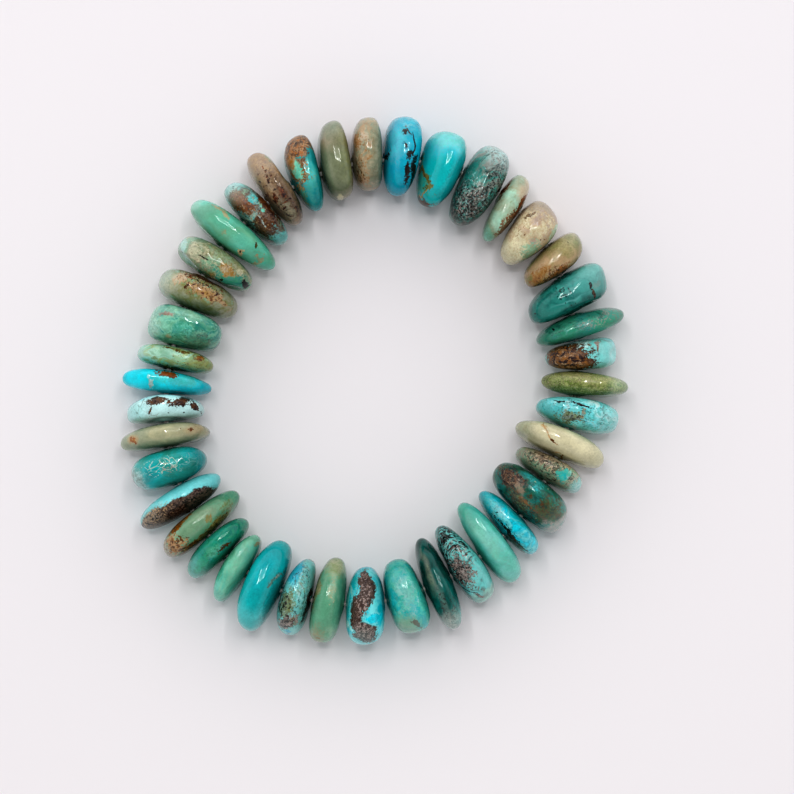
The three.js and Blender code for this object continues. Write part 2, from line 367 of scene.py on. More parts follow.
    def polish(self):
        """Ends the finish: a painted reflection hazing the outer end and painted shade deepening the inner
        one, a little cloudiness, sheen that varies, and pits where the matrix is."""
        out = self.add("SeparateXYZ", {0: self.wander}).outputs[0]
        # Painted reflection: the outer end is hazed over with pale ice, as the bright room round the ring
        # would show in the polish.
        colour = self.mix(self.span(out, *PAINTED_HAZE_END, 0.0, self.haze), self.colour, tint("ice"))
        cloudy = self.noise(self.mm, CLOUDY, detail=3.0).outputs[0]
        grain = self.math("SUBTRACT", self.fine, 0.5)
        depth = self.math("MULTIPLY_ADD", self.matrix, MATRIX_LIGHT, GRAIN_LIGHT)
        clouds = self.span(cloudy, *NOISE_RANGE, *CLOUDY_LIGHT)
        value = self.math("MULTIPLY_ADD", grain, depth, clouds)
        # Painted shade: the inner end, towards the ring's middle, is made darker.
        value_with_painted_shade = self.math("MULTIPLY", value,
                           self.span(out, *PAINTED_SHADE_END, self.light, self.light * PAINTED_SHADE_LEVEL))
        colour = self.add("HueSaturation",
                          {"Saturation": self.rich, "Value": value_with_painted_shade, "Color": colour}).outputs[0]
        sheen = self.span(self.fine, *NOISE_RANGE, *SHEEN)
        rough = self.math("MULTIPLY_ADD", self.matrix, MATRIX_ROUGH, sheen)
        pits = self.math("MULTIPLY", self.fine, self.matrix)
        height = self.math("SUBTRACT", self.math("MULTIPLY", cloudy, WAVES), pits)
        bump = self.add("Bump", {**BUMP, "Height": height}).outputs[0]
        return self.close(Base_Color=colour, Roughness=rough, Normal=bump, IOR=STONE_IOR)


# ---------------- what each stone looks like
def mark(kind):
    """Makes a shorthand that writes down one mark of that kind, for the finish to lay later."""
    return lambda colours, *values, **how: (kind, colours.split(), values, how)


body, patch, wash, web, specks, grains = map(mark, ("body", "patch", "wash", "web", "specks", "grains"))

# Each stone's body, and then its marks from the lowest up. After the colours come the values in the order
# of that method above: a body's first is the size of its clouds, four numbers in brackets are a spot, and
# the one after a spot is the mark's strength.
LOOKS = {}
LOOKS[1] = (
    body("turquoise deep_turquoise turquoise seafoam", 5, low=0.25, high=0.85, haze=0.1),
    wash("teal", (-0.5, -0.85, 0.8, 0.35), 0.4),
    wash("seafoam pale_turquoise", (-0.15, -0.25, 0.5, 0.4), 0.6),
    patch("olive seafoam", (-0.55, 0.4, 0.3, 0.3), 0.75),
    patch("tan brown gold", (0.04, 0.3, 0.38, 0.6), ragged=1.0),
    patch("seafoam mint", (0.1, 0.38, 0.27, 0.34), turn=-14, ragged=0.8),
    patch("brown tan rust gold", (0.84, 0.1, 0.62, 1.6), turn=12, matte=0.5, ragged=0.35),
    patch("tan gold", (0.3, 0.62, 0.22, 0.34), 0.9),
    grains("umber", 0.9, 0.4, (0.72, 0.1, 0.46, 1.1), 0.75, matte=0.5, ragged=0.4),
    specks("umber", 0.9, 0.28, 0.4, (0.64, 0.15, 0.36, 0.7), matte=0.6, ragged=0.5),
    patch("rose_grey tan", (1.02, -0.3, 0.12, 0.6), 0.6, ragged=0.5),
)
LOOKS[2] = (
    body("sage dark_sage greige dark_sage", 7, stretch=(0.5, 1.2, 1), low=0.2, high=1.0, haze=0.15,
         light=1.05),
    wash("dark_sage olive", (0.1, -0.85, 1.0, 0.5), soft=0.6),
    wash("dark_sage", (-0.6, 0.7, 0.5, 0.4), 0.4, soft=0.6),
    specks("dark_sage", 1.6, 0.12, 0.5),
    patch("cream", (-0.98, -0.1, 0.06, 0.2), ragged=0.5),
)
LOOKS[3] = (
    body("sage tan sage sand", 3, haze=0.15, light=0.92, rich=0.9),
    wash("sage dark_sage", (-0.1, -0.75, 0.9, 0.5), 0.85, soft=0.4),
    patch("gold apricot", (0.32, 0.72, 0.2, 0.3), 0.9, ragged=1.0),
    wash("apricot tan", (-0.72, 0.3, 0.2, 0.4), 0.7, ragged=0.9, soft=0.3),
    patch("apricot", (0.62, 0.15, 0.14, 0.2), 0.5, soft=0.2),
    grains("gold", 0.6, 0.3, (-0.2, 0.35, 0.8, 0.6), 0.6, ragged=0.5),
    grains("brown", 0.45, 0.35, (-0.5, 0.45, 0.3, 0.35)),
    patch("soot", (-0.18, 0.78, 0.05, 0.1), matte=0.8, ragged=0.6),
    grains("cream", 0.5, 0.3, (0.0, 0.15, 0.5, 0.4), 0.4, ragged=0.5, soft=0.5),
    specks("brown", 1.2, 0.2, 0.3, (-0.1, 0.3, 0.9, 0.7), ragged=0.5),
)
LOOKS[4] = (
    body("cyan sky cyan", 5, haze=0.15, light=0.95),
    wash("deep_sky", (0.4, 0.9, 0.7, 0.4)),
    wash("pale_sky bright_aqua", (0.25, 0.3, 0.42, 0.5), ragged=0.8),
    patch("soot charcoal", (-0.08, 0.76, 0.15, 0.14), matte=0.5, ragged=1.0),
    patch("soot umber", (-0.42, -0.44, 0.38, 0.1), turn=-4, matte=0.5, ragged=1.1),
    # Partly the black matrix along the lower edge, partly painted shade of that falling side.
    patch("soot", (-0.35, -0.72, 0.42, 0.12), turn=-4, matte=0.5, ragged=1.0),
    patch("soot charcoal", (0.0, -0.4, 0.1, 0.12), matte=0.5, ragged=1.1),
    patch("soot", (0.32, -0.5, 0.34, 0.04), turn=8, matte=0.5, ragged=1.0),
    patch("umber", (0.58, -0.2, 0.035, 0.28), turn=-30, ragged=1.1),
    patch("umber", (0.18, -0.02, 0.03, 0.1), turn=-40, ragged=1.2),
    patch("umber", (0.6, 0.05, 0.06, 0.1), ragged=1.2),
    grains("ice", 0.6, 0.4, (0.88, -0.1, 0.22, 0.9), 0.3, ragged=0.5, soft=0.5, lean=80, stretch=4),
)
LOOKS[5] = (
    body("turquoise turquoise cyan turquoise", 8, low=0.3, high=0.9, haze=0.2, light=1.07),
    wash("pale_sky pale_turquoise", (0.8, 0.25, 0.5, 0.8), 0.6, ragged=0.3, soft=0.6),
    wash("deep_turquoise", (-0.2, -0.85, 0.8, 0.4), 0.6),
    wash("leaf sea", (-0.6, 0.55, 0.36, 0.42), 0.8, ragged=0.8, soft=0.3),
    patch("olive brown", (-0.28, 0.6, 0.065, 0.7), turn=-24),
    patch("dark_olive olive", (-0.5, 0.12, 0.09, 0.16)),
    patch("olive tan", (-0.76, 0.25, 0.22, 0.045), turn=-30, ragged=0.8),
    patch("brown umber", (-0.93, 0.0, 0.13, 0.55), matte=0.4),
    patch("olive sea", (-0.05, 0.85, 0.35, 0.1), 0.7, ragged=1.0),
    grains("ice", 0.6, 0.4, (0.88, -0.45, 0.25, 0.6), 0.35, ragged=0.5, soft=0.5, lean=60, stretch=4),
    wash("aqua seafoam", (0.85, 0.0, 0.35, 1.0), 0.45),
)
LOOKS[6] = (
    body("ash sea pebble dark_teal", 2.5, haze=0.4),
    wash("rose_grey ice", (0.92, 0.05, 0.4, 0.9), 0.8, soft=0.4),
    wash("pebble ash", (-0.95, -0.2, 0.22, 0.7), 0.5, ragged=0.4, soft=0.3),
    wash("sea teal", (0.15, 0.4, 0.35, 0.45), 0.8, ragged=0.7, soft=0.3),
    grains("pebble", 0.6, 0.4, (0.1, -0.1, 0.8, 0.7), 0.55, ragged=0.5, soft=0.5),
    grains("soot", 0.4, 0.62, (-0.5, 0.1, 0.48, 0.85), matte=0.6, soft=0.4),
    grains("charcoal", 0.45, 0.4, (0.2, -0.65, 0.8, 0.45), soft=0.4),
    grains("rose_grey", 0.35, 0.25, (-0.42, 0.0, 0.42, 0.7), 0.8),
    grains("ice", 0.5, 0.18, (-0.3, 0.1, 0.6, 0.8), 0.6),
    grains("charcoal", 0.8, 0.3, (0.62, 0.1, 0.25, 0.7), 0.7, ragged=0.9, stretch=2),
)
LOOKS[7] = (
    body("celadon pale_mint sage pale_mint", 4, low=0.1, high=0.9, haze=0.1),
    wash("leaf seafoam", (-0.9, 0.3, 0.3, 0.7), 0.7, soft=0.4),
    wash("sand", (0.7, -0.6, 0.45, 0.4), 0.9, turn=25),
    patch("rust brown", (-0.5, -0.6, 0.45, 0.34), 0.85, turn=-14),
    patch("rust brown", (0.05, -0.9, 0.6, 0.22)),
    patch("brown rust", (0.45, 0.8, 0.28, 0.2), turn=-16),
    grains("umber", 0.5, 0.3, (-0.2, -0.75, 0.5, 0.3)),
    grains("olive", 0.6, 0.25, (0.35, 0.0, 0.3, 0.35), 0.4),
)
LOOKS[8] = (
    body("sand ivory sand rose_grey", 2.6, low=0.34, high=0.7, haze=0.1),
    wash("rose_grey greige", (0.85, 0.0, 0.45, 0.9), 0.85, soft=0.4),
    wash("shell", (-0.78, 0.2, 0.5, 0.9), 0.95),
    wash("rose_grey tan", (0.05, -0.7, 0.35, 0.25), ragged=0.8, soft=0.3),
    wash("mint leaf", (-0.45, -0.38, 0.3, 0.34), 0.7, ragged=0.9, soft=0.3),
    wash("leaf celadon", (-0.75, -0.6, 0.35, 0.35), 0.45, ragged=0.8, soft=0.3),
    patch("pale_mint", (0.25, -0.9, 0.35, 0.15), 0.7, ragged=0.8),
    patch("brown umber", (0.44, 0.36, 0.15, 0.05), 0.8, turn=-42, ragged=1.3),
    grains("tan", 0.4, 0.4, strength=0.4),
    grains("brown", 0.4, 0.2, (0.2, 0.55, 0.45, 0.2), 0.5),
    specks("brown", 1.3, 0.14, 0.4, strength=0.7),
    wash("greige", (0.85, 0.0, 0.3, 0.9), 0.35),
)
LOOKS[9] = (
    body("olive tan olive sand", 4, low=0.2, high=0.85, haze=0.2, light=0.95, rich=0.9),
    wash("olive light_moss", (0.55, 0.2, 0.45, 0.6)),
    wash("gold ochre", (-0.72, -0.15, 0.4, 0.45), 0.95, turn=-35, ragged=0.8, soft=0.3),
    patch("gold rust", (-0.2, -0.72, 0.5, 0.25), turn=-12, soft=0.2),
    grains("brown", 0.5, 0.4, (-0.45, -0.55, 0.6, 0.35), turn=-20, soft=0.2),
    patch("rust brown", (0.1, -0.92, 0.3, 0.14)),
    patch("tan", (0.05, -0.25, 0.2, 0.12), 0.6),
    wash("cream", (0.0, 0.05, 0.25, 0.1), 0.35, ragged=0.8, soft=0.3),
    specks("umber", 1.2, 0.12, 0.45),
)
LOOKS[10] = (
    body("sea sea teal sea", 5, light=0.93, rich=0.95),
    wash("aqua", (0.6, 0.15, 0.6, 0.75), 0.35, soft=0.6),
    # Painted shade: deep teal below the fold, where the hollowed lower side turns away from the light.
    wash("teal dark_teal", (0.05, -0.75, 0.75, 0.38), 0.8, turn=-22, ragged=0.2, soft=0.3),
    # Painted highlight: a thin pale aqua line along the fold.
    wash("aqua", (-0.1, -0.1, 0.42, 0.05), 0.45, turn=-26, ragged=0.2, soft=0.6),
    specks("charcoal", 1.5, 0.15, 0.5),
    grains("dark_teal", 0.5, 0.35, (-0.15, 0.35, 0.14, 0.25), ragged=1.0),
    patch("soot umber", (0.52, -0.14, 0.045, 0.15), turn=-24, matte=0.6),
    patch("soot brown", (0.44, -0.48, 0.045, 0.22), turn=-18, matte=0.6, ragged=1.0),
    wash("pebble", (0.62, -0.3, 0.1, 0.12), 0.4, ragged=0.9, soft=0.3),
)
LOOKS[11] = (
    body("sea jade sea teal", 4, stretch=(0.7, 1.2, 1), low=0.2, high=0.85, haze=0.0, light=0.95, rich=0.9),
    wash("teal dark_leaf", (-0.8, 0.2, 0.45, 0.9), 0.4),
    wash("pebble sea", (0.1, 0.1, 0.6, 0.4), 0.25, soft=0.6),
    wash("pebble sea", (0.85, 0.0, 0.3, 0.8), 0.6, soft=0.4),
    grains("rose_grey", 0.4, 0.4, (0.3, -0.15, 0.3, 0.4), 0.55, ragged=0.9),
    grains("rose_grey", 0.4, 0.4, (0.66, 0.25, 0.12, 0.3), 0.55, ragged=0.9),
    patch("charcoal", (-0.56, 0.3, 0.022, 0.07), ragged=1.0),
    grains("dark_teal", 0.7, 0.3, (-0.1, 0.3, 0.9, 0.6), 0.5, ragged=0.5, stretch=2),
    grains("aqua", 0.5, 0.25, (-0.1, -0.1, 0.45, 0.4), 0.3, ragged=0.9, stretch=2),
)
LOOKS[12] = (
    body("bright_aqua aqua pale_turquoise aqua", 4, light=1.08, rich=0.93),
    patch("ice", (-0.05, 0.75, 0.3, 0.35), 0.8, ragged=0.6),
    grains("brown", 0.6, 0.35, (0.05, 0.55, 0.25, 0.5), ragged=0.9, lean=60, stretch=3),
    patch("umber brown", (-0.5, -0.15, 0.76, 1.4), turn=14, matte=0.3, ragged=0.5, soft=0.06),
    patch("gold brown tan", (-0.5, -0.15, 0.54, 0.95), turn=14, matte=0.5, ragged=0.8, soft=0.2),
    grains("umber", 0.6, 0.45, (-0.42, -0.05, 0.55, 0.9), matte=0.6, ragged=0.6, lean=20, stretch=2),
    patch("brown rose_grey", (0.42, 0.4, 0.04, 0.36), turn=-14, ragged=1.0),
    patch("rose_grey brown", (0.45, 0.65, 0.06, 0.14), ragged=1.0),
    patch("umber", (0.28, -0.85, 0.1, 0.1), ragged=1.0),
)
LOOKS[13] = (
    body("moss light_moss moss moss", 1.6, stretch=(0.8, 1.2, 1), rich=0.95),
    wash("light_moss sand", (0.1, 0.5, 0.9, 0.4)),
    wash("moss dark_olive", (0.0, -0.75, 1.0, 0.4), 0.6, soft=0.4),
    grains("dark_olive", 0.35, 0.42, strength=0.7),
    grains("light_moss", 0.4, 0.35, strength=0.6),
    grains("cream", 0.35, 0.15, strength=0.6),
)
LOOKS[14] = (
    body("bright_aqua aqua bright_aqua ice", 3),
    wash("turquoise", (-0.6, -0.3, 0.4, 0.5), 0.35),
    wash("ice aqua", (0.8, -0.1, 0.35, 0.9), soft=0.4),
    grains("sea", 0.7, 0.35, (0.6, -0.2, 0.5, 0.9), 0.5, ragged=0.5, lean=30, stretch=2),
    patch("olive pebble", (-0.16, -0.3, 0.34, 0.28), 0.85, ragged=1.1, soft=0.2),
    grains("umber", 0.5, 0.3, (-0.05, -0.35, 0.25, 0.25), 0.8, ragged=1.0),
    patch("tan pebble", (0.14, 0.1, 0.05, 0.3), 0.8, ragged=1.2),
    patch("soot", (-0.5, 0.5, 0.16, 0.06), turn=14, ragged=1.2),
    patch("soot umber", (0.12, 0.62, 0.3, 0.08), turn=-6, ragged=1.2),
    grains("charcoal", 0.45, 0.25, (0.1, 0.1, 0.9, 0.9), 0.6, ragged=0.5, lean=30, stretch=2),
)
LOOKS[15] = (
    body("shell ivory shell", 7, stretch=(0.6, 1.2, 1), low=0.3, high=0.8, haze=0.05, light=0.95),
    wash("sage celadon", (-0.95, 0.0, 0.3, 0.8), 0.4),
    wash("olive", (0.0, -0.95, 0.9, 0.3), 0.2),
    patch("ochre", (-0.42, 0.6, 0.06, 0.09), 0.45, ragged=1.1),
    patch("apricot brown", (-0.3, 0.25, 0.02, 0.45), 0.7, turn=18, ragged=1.0),
    patch("brown", (-0.19, -0.08, 0.022, 0.08)),
    patch("brown ochre", (0.14, -0.85, 0.025, 0.12)),
    patch("apricot", (0.0, -0.7, 0.05, 0.06), 0.6),
    wash("sage", (0.9, 0.0, 0.3, 0.9), 0.25),
)
LOOKS[16] = (
    body("pebble celadon greige sage", 1.8),
    patch("celadon greige", (-0.9, 0.1, 0.32, 0.9), 0.85, ragged=0.8),
    patch("aqua ice", (0.95, -0.2, 0.26, 0.8), 0.85, ragged=0.7),
    patch("taupe brown", (-0.2, 0.3, 0.5, 0.4), 0.6, matte=0.4),
    grains("umber", 0.5, 0.38, (-0.1, 0.0, 0.95, 0.95), 0.75, matte=0.5, ragged=0.5, stretch=2),
    grains("sand", 0.4, 0.32, (-0.1, 0.2, 0.9, 0.9), 0.9, ragged=0.5),
    grains("celadon", 0.6, 0.35, (0.0, -0.5, 1.0, 0.5), 0.4, ragged=0.6, stretch=2),
    patch("seafoam turquoise", (0.34, 0.12, 0.13, 0.46), turn=12),
    patch("seafoam ice", (0.46, 0.35, 0.07, 0.25), 0.8, ragged=1.0),
)
LOOKS[17] = (
    body("dark_teal teal dark_leaf dark_teal", 3.2, haze=0.2, light=1.15, rich=0.9),
    wash("turquoise teal", (-0.25, 0.6, 0.3, 0.24), 0.75, ragged=0.7, soft=0.3),
    wash("brown dark_olive", (0.52, 0.1, 0.32, 0.7), 0.75, ragged=0.8, soft=0.25),
    wash("rose_grey pebble", (0.9, -0.05, 0.13, 0.85), 0.8, ragged=0.4, soft=0.3),
    wash("rose_grey teal", (0.72, -0.5, 0.16, 0.3), 0.6, ragged=0.7, soft=0.3),
    patch("brown taupe", (-0.62, -0.05, 0.32, 0.42), matte=0.35, ragged=0.8, soft=0.2),
    grains("tan", 0.4, 0.25, (-0.64, -0.05, 0.28, 0.4), 0.7),
    grains("umber", 0.45, 0.45, (-0.62, -0.05, 0.3, 0.42), matte=0.5, ragged=0.7),
    patch("brown taupe olive", (-0.08, -0.42, 0.42, 0.45), 0.85, soft=0.2),
    wash("gold brown", (0.0, -0.25, 0.24, 0.12), ragged=1.0, soft=0.3),
    wash("greige", (-0.3, -0.1, 0.16, 0.1), ragged=0.9, soft=0.4),
    grains("dark_teal", 0.6, 0.35, (0.1, 0.0, 0.8, 0.8), 0.6, ragged=0.5),
    specks("cream", 1.6, 0.13, 0.35, strength=0.6),
)
LOOKS[18] = (
    body("bright_cyan cyan bright_aqua cyan", 2.4),
    wash("turquoise", (-0.2, 0.8, 0.9, 0.35), 0.6),
    wash("ice bright_aqua", (-0.4, -0.1, 0.3, 0.4), 0.6, ragged=0.9, soft=0.3),
    grains("deep_turquoise", 0.6, 0.3, strength=0.45),
    patch("charcoal", (-0.36, -0.18, 0.02, 0.08), 0.8, ragged=1.0),
    patch("pebble ash", (0.55, -0.75, 0.4, 0.3), 0.9, ragged=1.0),
    patch("soot umber", (0.12, -0.55, 0.3, 0.12), turn=-12, matte=0.4, ragged=1.2),
    patch("soot brown", (0.55, -0.5, 0.3, 0.09), turn=16, matte=0.4, ragged=1.2),
    grains("soot", 0.45, 0.3, (0.2, -0.6, 0.6, 0.35)),
    wash("turquoise", (-0.85, 0.0, 0.3, 0.9), 0.45),
)
LOOKS[19] = (
    body("seafoam seafoam aqua seafoam", 7, low=0.3, high=0.9, light=0.95),
    wash("pale_mint", (-0.2, 0.1, 0.6, 0.4), 0.35, soft=0.6),
    wash("sea", (0.1, -0.9, 1.0, 0.35), 0.4),
    wash("turquoise", (-0.7, 0.5, 0.5, 0.4), 0.25, soft=0.6),
    specks("leaf", 1.5, 0.12, 0.4, strength=0.6),
)
LOOKS[20] = (
    body("aqua aqua pale_turquoise ash", 2.2, haze=0.2),
    grains("soot", 0.7, 0.45, (-0.6, 0.0, 0.6, 1.1), ragged=0.5, soft=0.3, lean=65, stretch=4),
    grains("soot", 0.4, 0.35, (-0.75, -0.2, 0.4, 0.9), ragged=0.5, soft=0.3, lean=50, stretch=3),
    grains("charcoal", 0.5, 0.45, (0.0, -0.85, 0.9, 0.35), ragged=0.6, lean=30, stretch=2.5),
    patch("rose_grey umber", (0.12, -0.25, 0.33, 0.58), 0.9, matte=0.4),
    grains("soot", 0.42, 0.42, (0.08, -0.4, 0.36, 0.6), matte=0.5, ragged=0.9),
    grains("rose_grey", 0.4, 0.35, (-0.1, 0.0, 0.5, 0.6), 0.6, ragged=0.9),
    patch("bright_aqua aqua", (0.62, -0.3, 0.08, 0.6), turn=-20, ragged=0.6, soft=0.2),
    wash("pale_mint pebble", (0.92, 0.2, 0.22, 0.9), 0.7, soft=0.3),
    patch("umber rose_grey", (0.74, -0.15, 0.05, 0.26), turn=-24, matte=0.4),
    patch("charcoal", (0.5, -0.6, 0.025, 0.5), 0.8, turn=-20),
)
LOOKS[21] = (
    body("dark_leaf dark_teal teal dark_leaf", 6, stretch=(0.5, 1.3, 1), low=0.2, high=0.9, light=1.27),
    wash("pebble sage", (-0.35, -0.3, 0.5, 0.2), ragged=0.4, soft=0.6),
    wash("pebble rose_grey", (0.84, -0.1, 0.3, 0.7), 0.7, soft=0.4),
    wash("pebble", (0.35, -0.1, 0.3, 0.16), 0.3, soft=0.6),
    grains("charcoal", 0.6, 0.35, strength=0.3, stretch=4),
    grains("umber", 0.45, 0.3, (0.6, 0.0, 0.35, 0.8), 0.7, ragged=0.7),
)
LOOKS[22] = (
    body("turquoise seafoam turquoise pale_turquoise", 2.4, low=0.3, high=0.75, light=0.92),
    grains("sea", 0.9, 0.35, (-0.4, -0.3, 0.8, 0.8), 0.5, ragged=0.5),
    wash("ice", (-0.1, 0.15, 0.5, 0.35), 0.35, ragged=1.0),
    wash("celadon sage", (0.75, -0.45, 0.4, 0.6), 0.7),
    grains("ice", 1.3, 0.35, (-0.15, 0.15, 0.7, 0.6), 0.35, soft=0.4),
    wash("turquoise seafoam", (-0.75, -0.2, 0.4, 0.8)),
    wash("teal", (-0.1, -1.0, 1.0, 0.4), 0.6),
    wash("sea", (-0.2, 0.95, 1.0, 0.3)),
    patch("taupe brown", (0.75, 0.0, 0.06, 0.26), 0.85, turn=-20, ragged=0.6),
)
LOOKS[23] = (
    body("turquoise cyan bright_aqua turquoise", 5, light=1.05),
    patch("aqua ice", (-0.35, -0.8, 0.06, 0.4), 0.8, turn=-40, ragged=0.6),
    patch("aqua ice", (0.5, -0.75, 0.12, 0.4), 0.8, turn=-30, ragged=0.6),
    patch("bright_aqua", (-0.44, -0.08, 0.66, 0.52), turn=4, depth=0.7, ragged=0.45),
    patch("bright_aqua", (0.2, -0.38, 0.56, 0.38), depth=0.7, ragged=0.45),
    patch("bright_aqua", (0.63, 0.02, 0.36, 0.74), depth=0.7, ragged=0.45),
    patch("taupe umber", (-0.42, -0.1, 0.58, 0.42), turn=4, depth=0.7, matte=0.6, ragged=0.45),
    patch("taupe umber taupe", (0.22, -0.38, 0.5, 0.27), depth=0.7, matte=0.6, ragged=0.45),
    patch("taupe umber taupe", (0.63, 0.02, 0.28, 0.62), depth=0.7, matte=0.6, ragged=0.45),
    grains("rose_grey", 0.45, 0.36, (-0.3, -0.15, 0.6, 0.28), 0.8, ragged=0.5),
    grains("rose_grey", 0.45, 0.5, (0.6, -0.05, 0.22, 0.5), 0.7, ragged=0.5),
    patch("bright_aqua", (0.23, 0.4, 0.19, 0.5), ragged=0.4),
    patch("cyan bright_cyan", (0.24, 0.5, 0.14, 0.5), ragged=0.4),
)
LOOKS[24] = (
    body("leaf leaf celadon sea", 4.5, stretch=(0.7, 1.2, 1), low=0.3, high=0.75, haze=0.1, light=0.95,
         rich=0.93),
    wash("leaf", (0.3, -0.1, 0.4, 0.6), 0.4, soft=0.6),
    wash("light_moss cream", (-0.9, -0.05, 0.3, 0.8), 0.75),
    # Painted highlight: a pale cream wash where the window's glints fall.
    wash("cream pale_mint", (-0.35, 0.0, 0.3, 0.25)),
    wash("tan sage", (0.84, -0.3, 0.28, 0.5), 0.6),
    wash("gold", (0.86, -0.2, 0.04, 0.14), 0.6, ragged=0.9, soft=0.3),
    patch("olive tan", (-0.2, -0.95, 0.5, 0.2), 0.8),
    # Painted highlight: cream grains where the window's glints fall.
    grains("cream", 0.4, 0.2, (-0.3, 0.02, 0.35, 0.25), 0.6),
)
LOOKS[25] = (
    body("aqua pale_turquoise aqua pebble", 2.6, rich=0.95),
    wash("sky cyan", (-0.62, -0.45, 0.34, 0.4), 0.9, ragged=0.7, soft=0.3),
    grains("charcoal", 0.5, 0.3, (0.0, 0.1, 0.95, 0.8), 0.65, ragged=0.5, lean=20, stretch=2.5),
    wash("dark_sage olive", (0.12, -0.45, 0.38, 0.42), 0.85, ragged=1.0, soft=0.3),
    grains("soot", 0.5, 0.4, (0.2, -0.6, 0.35, 0.4), ragged=0.9),
    patch("rose_grey taupe", (0.62, -0.2, 0.18, 0.65), turn=12, matte=0.3, ragged=1.0),
    grains("umber", 0.5, 0.4, (0.6, -0.3, 0.25, 0.6), ragged=0.9),
    patch("umber soot", (-0.05, 0.9, 0.6, 0.14), matte=0.4, ragged=1.1),
    patch("sky", (0.88, -0.05, 0.08, 0.25), ragged=0.7),
    grains("olive", 0.7, 0.25, (0.0, 0.2, 0.7, 0.6), 0.5, ragged=0.5),
    grains("ice", 0.6, 0.2, (-0.2, 0.1, 0.7, 0.7), 0.5, ragged=0.5),
)
LOOKS[26] = (
    body("turquoise turquoise deep_turquoise", 8, low=0.3, high=1.0, haze=0.4, light=0.95),
    wash("deep_turquoise teal", (0.1, 0.9, 1.0, 0.42), 0.8),
    wash("pale_turquoise", (0.98, 0.0, 0.2, 0.8)),
    wash("cyan", (-0.5, -0.3, 0.5, 0.5), 0.25, soft=0.6),
    patch("dark_olive pebble sand", (-0.34, 0.56, 0.13, 0.09), 0.85, turn=-30, ragged=1.3),
    patch("dark_olive pebble sand", (-0.14, 0.34, 0.13, 0.08), 0.85, turn=-30, ragged=1.3),
    wash("deep_turquoise", (0.0, 0.3, 0.5, 0.6), 0.3),
)
LOOKS[27] = (
    body("leaf seafoam mint leaf", 6, stretch=(0.6, 1.3, 1), haze=0.45, light=0.95),
    wash("pale_mint mint", (-0.3, 0.0, 0.5, 0.5), 0.4, soft=0.6),
    patch("tan ochre", (-0.82, 0.45, 0.08, 0.16), 0.8, ragged=1.0, soft=0.2),
    wash("jade", (0.3, -0.9, 0.8, 0.3)),
)
LOOKS[28] = (
    body("jade sea jade sea", 3, low=0.34, high=0.75, haze=0.45),
    wash("dark_leaf", (0.0, 0.85, 0.9, 0.35), 0.6),
    wash("jade teal", (-0.6, -0.1, 0.45, 0.8), 0.75),
    wash("leaf mint", (0.1, 0.1, 0.25, 0.35), ragged=0.9, soft=0.4),
    patch("brown umber", (-0.18, 0.4, 0.15, 0.13), turn=-30, ragged=1.1),
    grains("dark_leaf", 0.8, 0.3, strength=0.4),
)
LOOKS[29] = (
    body("celadon leaf celadon sage", 5, low=0.25, high=0.8, haze=0.15, light=0.92),
    wash("jade leaf", (-0.88, 0.1, 0.25, 0.7), 0.8, soft=0.4),
    wash("sage", (0.1, -0.2, 0.6, 0.6), 0.4, soft=0.6),
    wash("rose_grey greige", (0.92, 0.1, 0.2, 0.9), 0.85, soft=0.3),
    patch("olive ochre", (-0.1, 0.78, 0.65, 0.28), 0.85, ragged=1.0, soft=0.2),
    grains("brown", 0.6, 0.35, (-0.1, 0.8, 0.6, 0.25)),
    patch("ochre olive", (-0.2, 0.2, 0.08, 0.22), 0.7, ragged=1.3),
    patch("olive celadon", (-0.65, 0.35, 0.14, 0.3), 0.7, ragged=0.8),
    patch("gold tan apricot", (0.63, -0.05, 0.22, 0.9), ragged=1.1),
    grains("brown", 0.6, 0.45, (0.62, 0.2, 0.3, 0.9), ragged=0.9, lean=70, stretch=1.6),
    patch("umber gold", (0.5, 0.75, 0.3, 0.25), ragged=1.0),
    patch("gold brown", (0.3, -0.85, 0.35, 0.16), ragged=1.1),
)
LOOKS[30] = (
    body("bright_aqua bright_aqua ice", 5, low=0.34, high=0.8, haze=0.1, rich=0.95),
    patch("umber taupe taupe", (0.28, 0.54, 1.2, 0.86), turn=-16, depth=1.3, matte=0.5, ragged=0.15),
    wash("taupe greige", (0.75, 0.1, 0.35, 0.6), 0.6, ragged=0.8, soft=0.4),
    grains("soot", 0.5, 0.4, (0.15, 0.55, 1.0, 0.6), turn=-13, matte=0.5, ragged=0.3),
    grains("tan", 0.4, 0.25, (0.5, 0.0, 0.5, 0.45), turn=-16, ragged=0.6),
    specks("tan", 0.9, 0.26, 0.4, (0.5, -0.3, 0.35, 0.14), turn=-16, ragged=0.5),
)
LOOKS[31] = (
    body("deep_turquoise turquoise sea teal", 6, low=0.3, high=0.8, light=0.92),
    wash("ice pebble", (0.95, 0.1, 0.3, 1.1), 0.9, ragged=0.3, soft=0.25),
    web("ice cream", 1.35, 0.055, (0.12, -0.2, 0.5, 0.42), 0.85, ragged=0.9),
    web("ice aqua", 1.2, 0.05, (-0.65, 0.05, 0.26, 0.35), 0.5, ragged=1.1),
    grains("rose_grey", 0.5, 0.35, (-0.05, 0.0, 0.2, 0.25), 0.7, ragged=0.9),
    specks("aqua", 1.1, 0.2, 0.3, (-0.7, 0.2, 0.35, 0.7), ragged=0.5),
    wash("deep_turquoise", (-0.85, 0.0, 0.25, 0.9), 0.45),
)
LOOKS[32] = (
    body("sage sage cream celadon", 6, stretch=(0.5, 1.3, 1), low=0.2, high=0.9, haze=0.15),
    wash("dark_sage", (0.0, 0.9, 0.9, 0.4)),
    wash("tan", (-0.72, -0.1, 0.2, 0.4), 0.4, soft=0.6),
    patch("rust brown", (-0.67, -0.2, 0.04, 0.14), ragged=1.2),
    wash("apricot", (0.67, 0.0, 0.1, 0.35), soft=0.4),
    patch("rust gold", (0.68, 0.05, 0.05, 0.26), ragged=1.0),
    patch("brown", (-0.42, -0.35, 0.015, 0.05), ragged=0.5),
)
